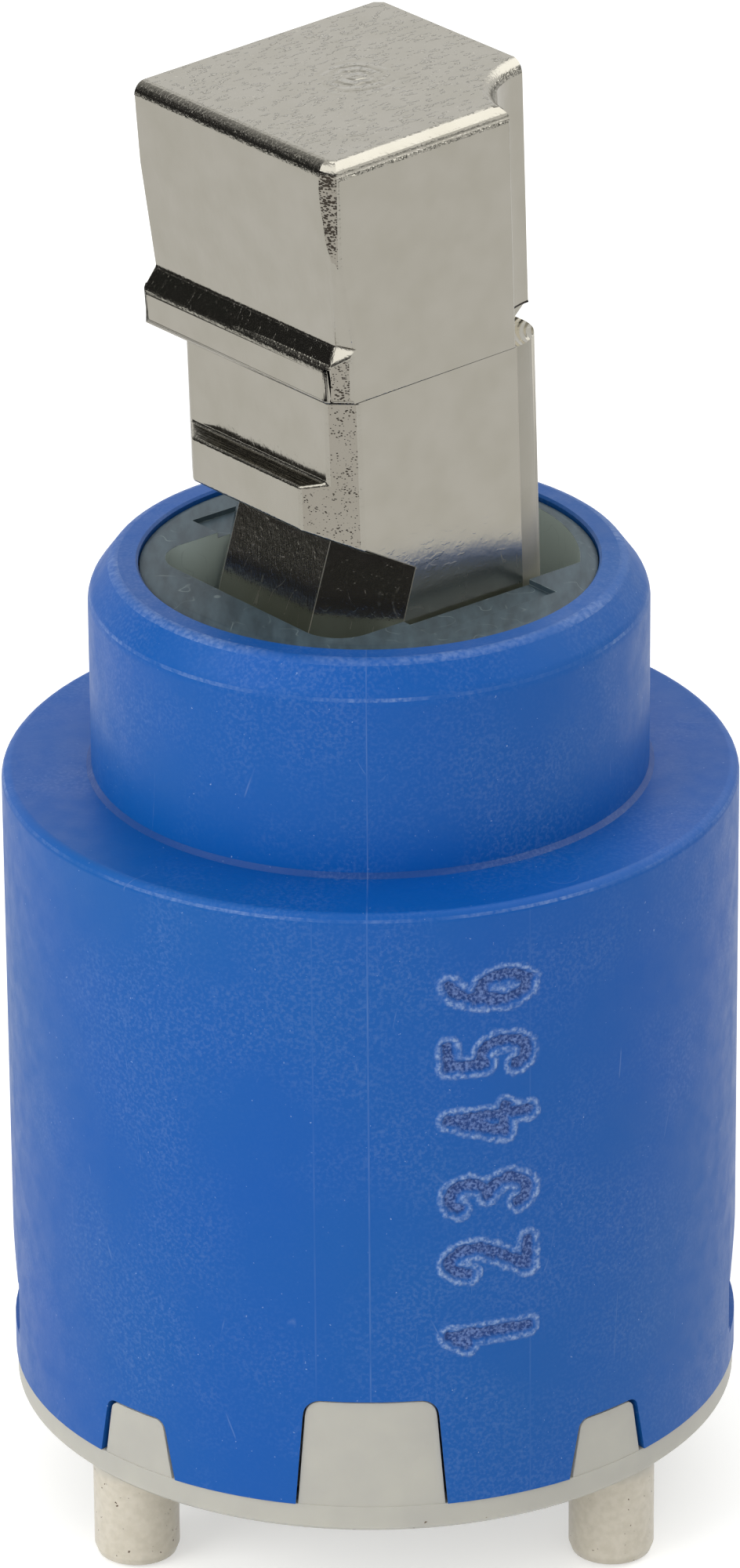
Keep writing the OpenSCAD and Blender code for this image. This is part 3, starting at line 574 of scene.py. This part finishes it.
def plain_material(name, colour, roughness, grain_mm, metallic=0.0):
    """A plain inner finish: one colour with a grain of the given size that breaks its gloss."""
    material, tree, shader = new_material(name)
    grain = add(tree, "TexNoise", add(tree, "TexCoord").outputs["Object"], Scale=wave(grain_mm),
                Detail=2)
    toned = add(tree, "Mix", add(tree, "MapRange", grain, 0.3, 0.7, 0.0, 0.12), linear(colour),
                linear("#272727"), data_type="RGBA")
    cover(tree, shader, toned, grain, strength=0.3)
    rough = add(tree, "MapRange", grain, 0.3, 0.7, roughness - 0.05, roughness + 0.05)
    tree.links.new(rough.outputs[0], shader.inputs["Roughness"])
    shader.inputs["Metallic"].default_value = metallic
    return material


nickel = nickel_material()
blue = blue_material()
cream = cream_material()
frosted = frosted_material()
# Inside: white acetal is waxy, moulded rubber black and matt, ground ceramic off-white with a
# close sheen, and drawn steel a soft mirror
white_plastic = plain_material("moulded_white_acetal", "#D8D8D4", 0.45, 0.5)
rubber = plain_material("moulded_black_rubber", "#202022", 0.6, 0.2)
ceramic = plain_material("ground_alumina_ceramic", "#E6E4DC", 0.22, 0.1)
steel = plain_material("drawn_stainless_steel", "#B9B8B6", 0.28, 0.15, metallic=1.0)


def node_copy(node):
    """A bmesh of a CAD node with its loose triangles joined and its flat faces whole."""
    bm = bmesh.new()
    bm.from_mesh(frame["nodes"][node].data)
    bmesh.ops.remove_doubles(bm, verts=bm.verts, dist=0.002 * MM)
    bmesh.ops.dissolve_limit(bm, angle_limit=math.radians(0.4), verts=bm.verts, edges=bm.edges)
    bm.faces.layers.float.new("edge")
    return bm


def round_edges(bm, width, segments=5, sharper_than=25, wanted=None, clamp=True,
                mark="edge", share=1.0):
    """Rounds the sharp edges, or only those whose two ends pass a test, width in millimetres.
    Marks them in the named layer of the faces, or only that share of their height round its
    middle."""
    limit = math.radians(sharper_than)
    edges = [e for e in bm.edges if len(e.link_faces) == 2 and e.calc_face_angle(0) > limit
             and (wanted is None or wanted(e.verts[0].co, e.verts[1].co))]
    made = bmesh.ops.bevel(bm, geom=edges, offset=width * MM, offset_type="OFFSET",
                           segments=segments, profile=0.5, affect="EDGES", clamp_overlap=clamp,
                           material=-1)
    layer = bm.faces.layers.float[mark]
    heights = {face: face.calc_center_median().z for face in made["faces"]}
    low, high = min(heights.values()), max(heights.values())
    for face, height in heights.items():
        if abs(height - (low + high) / 2) <= share * (high - low) / 2:
            face[layer] = 1


def new_object(name, bm):
    """Ends a bmesh as an object of the scene."""
    mesh = bpy.data.meshes.new(name)
    bm.to_mesh(mesh)
    bm.free()
    obj = bpy.data.objects.new(name, mesh)
    scene.collection.objects.link(obj)
    return obj


def finish_piece(obj, body, material, replaced, sharp=25):
    """Shades a piece's flat faces flat, lets it ride its body and hides the nodes it stands for."""
    obj.data.shade_smooth()
    obj.data.set_sharp_from_angle(angle=math.radians(sharp))
    set_material(obj, material)
    even = obj.modifiers.new("even_normals", "WEIGHTED_NORMAL")
    even.keep_sharp = True
    even.weight = 90
    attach(obj, body)
    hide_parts(*replaced)


TO_LEVER = (Matrix.Translation((0, 0, PIVOT_Z)) @ Matrix.Rotation(REST_LEAN, 4, "Y")
            @ Matrix.Translation((0, 0, -PIVOT_Z)) @ Matrix.Rotation(-SWIVEL_AZ, 4, "Z"))


def lever_place(co):
    """A point of the frame in the lever's own millimetres: along the tilt plane, across, up."""
    return TO_LEVER @ (Vector(co) / MM)


def on_near_rim(a, b):
    """Whether an edge is on the rim of the lever's top over its closed side, its front side or
    its notch."""
    a, b = lever_place(a), lever_place(b)
    on_closed_side = max(a.x, b.x) < CLOSED_SIDE_X
    on_front_side = max(a.y, b.y) < FRONT_SIDE_Y
    by_notch = max((co.xy - NOTCH_MID).length for co in (a, b)) < NOTCH_R + 0.3
    return min(a.z, b.z) > RIM_BOTTOM and (on_closed_side or on_front_side or by_notch)


def on_rim(a, b):
    """Whether an edge is on the rim of the lever's top, and over 1.5 mm long."""
    return min(lever_place(a).z, lever_place(b).z) > RIM_BOTTOM and (a - b).length > 1.5 * MM


def on_ledge(a, b):
    """Whether an edge is on the outside of the ledge on the lever's closed side, and over 0.9 mm
    long."""
    ends = [lever_place(co) for co in (a, b)]
    return (all(LEDGE_Z[0] < at.z < LEDGE_Z[1] and at.x < LEDGE_X for at in ends)
            and (a - b).length > 0.9 * MM)


def on_sides(a, b):
    """Whether an edge is between the carrier and the rim of the lever's top, and over 1.2 mm
    long."""
    return (min(a.z, b.z) > (COLLAR_Z - 1.55) * MM and max(a.z, b.z) < (LEVER_TOP - 0.6) * MM
            and (a - b).length > 1.2 * MM)


def on_stem(a, b):
    """Whether an edge is between the stem's slanting facets, and over 2 mm long."""
    ends = [lever_place(co) for co in (a, b)]
    return (all(FACETS_Z[0] < at.z < FACETS_Z[1] and at.x < FACETS_X for at in ends)
            and (a - b).length > 2 * MM)


def cut_parting_shade(bm):
    """Marks a thin strip round the lever at its parting, under the overhang of its head, which
    is painted dark as the shade there.
    """
    parting_shade = bm.faces.layers.float.new("parting_shade")
    up = TO_LEVER.to_3x3().inverted() @ Vector((0, 0, 1))
    for height in PARTING_SHADE_Z:
        at = TO_LEVER.inverted() @ Vector((0, 0, height)) * MM
        bmesh.ops.bisect_plane(bm, geom=bm.verts[:] + bm.edges[:] + bm.faces[:], dist=1e-7,
                               plane_co=at, plane_no=up)
    for face in bm.faces:
        at = lever_place(face.calc_center_median())
        flat = abs((TO_LEVER.to_3x3() @ face.normal).z) > 0.6
        if PARTING_SHADE_Z[0] < at.z < PARTING_SHADE_Z[1] and at.x > PARTING_SHADE_X and not flat:
            face[parting_shade] = 1


def mark_lever(bm):
    """Marks the lever's faces: crumbed top, ragged rim, pitted corners, milled step, drawn slot,
    brushed stem facets and worn back corners."""
    layers = {name: bm.faces.layers.float.new(name)
              for name in ("top", "pits", "brushed", "milled", "slot", "ragged")}
    for name in ("edge", "worn"):
        layers[name] = bm.faces.layers.float[name]
    turn = TO_LEVER.to_3x3()
    for face in bm.faces:
        at = lever_place(face.calc_center_median())
        looks = turn @ face.normal
        azimuth = math.degrees(math.atan2(looks.y, looks.x))
        level = looks.z > 0.95
        if level and at.z > RIM_BOTTOM:
            face[layers["top"]] = 1
        if level and STEP_Z[0] < at.z < STEP_Z[1]:
            face[layers["milled"]] = 1
        if looks.z > 0.9 and SLOT_Z[0] < at.z < SLOT_Z[1]:
            face[layers["slot"]] = 1
        # Under the rim on the front, where the rounded edge starts to turn up
        turning_up = 0.05 < looks.z < 0.4 and looks.y < -0.6
        if face[layers["edge"]] and turning_up and at.z > RIM_BOTTOM - 0.5:
            face[layers["ragged"]] = 1
        for azimuths, heights, back, strength in PITTED:
            inside = heights[0] < at.z < heights[1] and at.y < back
            if abs(looks.z) < 0.25 and azimuths[0] < azimuth < azimuths[1] and inside:
                face[layers["pits"]] = strength
        # The facet in the tilt plane is brushed most
        if 0.2 < looks.z < 0.4 and at.z < SLOT_Z[0]:
            face[layers["brushed"]] = 1 if abs(looks.y) < 0.1 else 0.25
        on_corner = abs(looks.z) < 0.1 and abs(looks.x * looks.y) > 0.02
        if (on_corner and at.x > BACK_CORNERS_X
                and BACK_CORNERS_Z[0] < at.z < BACK_CORNERS_Z[1]):
            face[layers["worn"]] = 0.6


# Corners of the lever that lie closer than 0.04 mm are joined above the carrier, and then its
# edges are rounded, each time those that are still sharp
bm = node_copy("lever_spindle")
bm.faces.layers.float.new("worn")
above_carrier = [v for v in bm.verts if lever_place(v.co).z > JOINED_FROM_Z]
bmesh.ops.remove_doubles(bm, verts=above_carrier, dist=0.04 * MM)
round_edges(bm, 0.85, segments=6, sharper_than=40, wanted=on_near_rim, clamp=False)
round_edges(bm, 0.28, sharper_than=40, wanted=on_rim)
round_edges(bm, 0.32, sharper_than=20, wanted=on_ledge, clamp=False)
round_edges(bm, 0.18, sharper_than=9, wanted=on_sides, clamp=False)
round_edges(bm, 0.13, segments=3, sharper_than=30, wanted=on_stem, mark="worn")
cut_parting_shade(bm)
mark_lever(bm)
lever = new_object("lever_casting", bm)
finish_piece(lever, "lever", nickel, replaced=["lever_spindle"], sharp=19)


def arc(x, y, across, high, start, end):
    """Points of an elliptic arc in a digit's unit box, its angles in degrees."""
    steps = 10
    turns = [math.radians(start + (end - start) * step / steps) for step in range(steps + 1)]
    return [(x + across * math.cos(turn), y + high * math.sin(turn)) for turn in turns]


# Middle lines of the digits one to six, each in one stroke
DIGITS = (
    [(0.1, 0.78), (0.5, 1.0), (0.5, 0.0)],
    arc(0.5, 0.7, 0.5, 0.3, 170, -35) + [(0.0, 0.0), (1.0, 0.0)],
    arc(0.45, 0.76, 0.5, 0.24, 150, -90) + arc(0.45, 0.26, 0.55, 0.26, 75, -150),
    [(0.7, 0.0), (0.7, 1.0), (0.0, 0.3), (1.0, 0.3)],
    [(0.95, 1.0), (0.15, 1.0), (0.1, 0.58)] + arc(0.42, 0.3, 0.53, 0.3, 125, -150),
    arc(0.95, 0.3, 0.93, 0.7, 100, 180) + arc(0.5, 0.3, 0.48, 0.3, 160, -180),
)


def jag(x, y, size, seed):
    """Noise between about -1 and 1 that makes the digits ragged, its waves size millimetres."""
    return noise.noise(Vector((x / size, y / size, seed)))


def digit_height(along, up):
    """How far the wall stands out at a place beside the digits' column, in millimetres."""
    number = min(range(len(DIGITS_Z)), key=lambda i: abs(DIGITS_Z[i] - up))
    place = Vector((up - DIGITS_Z[number] + WANDER * jag(along, up, 0.35, 1),
                    -along + WANDER * jag(along, up, 0.35, 2)))
    points = [Vector(((x - 0.5) * DIGIT_W, (y - 0.5) * DIGIT_H)) for x, y in DIGITS[number]]
    away = math.inf
    for a, b in zip(points, points[1:]):
        along_line = max(0.0, min(1.0, (place - a).dot(b - a) / (b - a).length_squared))
        away = min(away, (place - a.lerp(b, along_line)).length)
    outside = away - STROKE - WANDER * jag(along, up, 0.9, 3)
    if outside < 0:
        depth = STROKE_DEPTH + FLOOR_ROUGH * jag(along, up, 0.25, 4)
        return max(-1.0, outside / SLOPE) * depth
    if outside < BURR_W:
        crest = math.sin(math.pi * min(1.0, outside / BURR_W))
        return BURR * crest * max(0.0, 0.8 + 1.2 * jag(along, up, 0.3, 5))
    return 0.0


def azimuth_of(co):
    """Azimuth of a point from the front, in radians."""
    return math.atan2(co.x, -co.y)


def sink_digits(bm):
    """Sinks the digits in the wall: the strips of the wall round their column are cut into
    fine cells, whose corners move in and out, and mark their groove and their burr."""
    bottom, top = COLUMN_Z

    def strips():
        """The wall's strips round the digits' column."""
        return [f for f in bm.faces if all(
            abs(azimuth_of(v.co) - DIGITS_AZ) * BODY_R < COLUMN_HALF
            and v.co.xy.length > (BODY_R - 0.05) * MM for v in f.verts)]

    def strips_between():
        """The parts of the strips from the column's bottom to its top."""
        return [f for f in strips() if all(
            bottom - 0.01 < v.co.z / MM < top + 0.01 for v in f.verts)]

    def rise(e):
        """How far an edge rises, in millimetres."""
        return abs(e.verts[0].co.z - e.verts[1].co.z) / MM

    for height in (bottom, top):
        parts = set(strips())
        parts |= {part for f in strips() for part in (*f.edges, *f.verts)}
        bmesh.ops.bisect_plane(bm, geom=list(parts), plane_co=(0, 0, height * MM),
                               plane_no=(0, 0, 1), dist=1e-7)
    upright = {e for f in strips_between() for e in f.edges if rise(e) > 5}
    bmesh.ops.subdivide_edges(bm, edges=list(upright), cuts=round((top - bottom) / CELL) - 1)
    level = {e for f in strips_between() for e in f.edges if rise(e) < 0.01}
    bmesh.ops.subdivide_edges(bm, edges=list(level), cuts=CELLS_ACROSS - 1)
    burr = bm.verts.layers.float.new("burr")
    groove = bm.verts.layers.float.new("groove")
    for v in {v for f in strips_between() for v in f.verts}:
        out = digit_height((azimuth_of(v.co) - DIGITS_AZ) * BODY_R, v.co.z / MM)
        v.co.xy += v.co.xy.normalized() * out * MM
        v[burr] = max(0.0, min(1.0, out / BURR))
        v[groove] = max(0.0, min(1.0, -out / STROKE_DEPTH))


def on_chamfer_foot(a, b):
    """Whether an edge is the one where the collar's chamfer starts."""
    foot = COLLAR_Z - CHAMFER_H
    return (min(a.z, b.z) > (foot - 0.15) * MM and max(a.z, b.z) < (foot + 0.15) * MM
            and a.xy.length > (COLLAR_R - 0.2) * MM)


def on_collar_rim(a, b):
    """Whether an edge is the one where the collar's chamfer ends, on its rim."""
    return (min(a.z, b.z) > (COLLAR_Z - 0.05) * MM
            and a.xy.length > (COLLAR_R - CHAMFER_W - 0.2) * MM)


def on_shoulder(a, b):
    """Whether an edge is a level one on the outside of the housing's shoulder."""
    return (SHOULDER_Z - 0.5 < a.z / MM < SHOULDER_Z + 0.05 and abs(a.z - b.z) < 0.1 * MM
            and a.xy.length > (BODY_R - 0.6) * MM)


# The collar's chamfer and the shoulder's edge are worn rounder than the other edges
bm = node_copy("housing")
round_edges(bm, 0.55, sharper_than=20, wanted=on_chamfer_foot, share=0.3)
round_edges(bm, 0.4, sharper_than=20, wanted=on_collar_rim)
round_edges(bm, 0.22, segments=4, sharper_than=20, wanted=on_shoulder, share=0.4)
round_edges(bm, 0.15)
# The crease at the collar's root is painted darker, as shade
root_shade = bm.faces.layers.float.new("root_shade")
for face in bm.faces:
    at = face.calc_center_median() / MM
    at_foot = -0.1 < at.z - SHOULDER_Z < ROOT + 0.1
    if at_foot and abs(at.xy.length - COLLAR_R) < ROOT + 0.15:
        face[root_shade] = 1
        face[bm.faces.layers.float["edge"]] = 0
sink_digits(bm)
housing = new_object("housing_sleeve", bm)
finish_piece(housing, "cartridge_body", blue, replaced=["housing"])

bm = node_copy("base")
round_edges(bm, 0.12)
base = new_object("base_moulding", bm)
finish_piece(base, "cartridge_body", cream, replaced=["base"])

bm = node_copy("swivel_carrier")
round_edges(bm, 0.12)
# Walls of the opening, between the pivot and the carrier's top, which get painted light
OPENING_R = 13.2
wall = bm.faces.layers.float.new("wall")
for face in bm.faces:
    at = face.calc_center_median() / MM
    if at.xy.length < OPENING_R and PIVOT_Z - 3 < at.z < COLLAR_Z - 0.9:
        face[wall] = 1
carrier = new_object("carrier_insert", bm)
finish_piece(carrier, "swivel", frosted, replaced=["swivel_carrier"])

for node, material in (
        ("pivot_pin", steel), ("neck_ring", rubber), ("slip_ring", white_plastic),
        ("lever_shoe", white_plastic), ("disc_driver", white_plastic), ("driver_seal", rubber),
        ("silencer_mesh", steel), ("moving_disc", ceramic), ("fixed_disc", ceramic),
        ("seal_hot_upper", rubber), ("seal_cold_upper", rubber), ("seal_outlet_upper", rubber),
        ("seal_hot_lower", rubber), ("seal_cold_lower", rubber), ("seal_outlet_lower", rubber)):
    set_material(frame["nodes"][node], material)
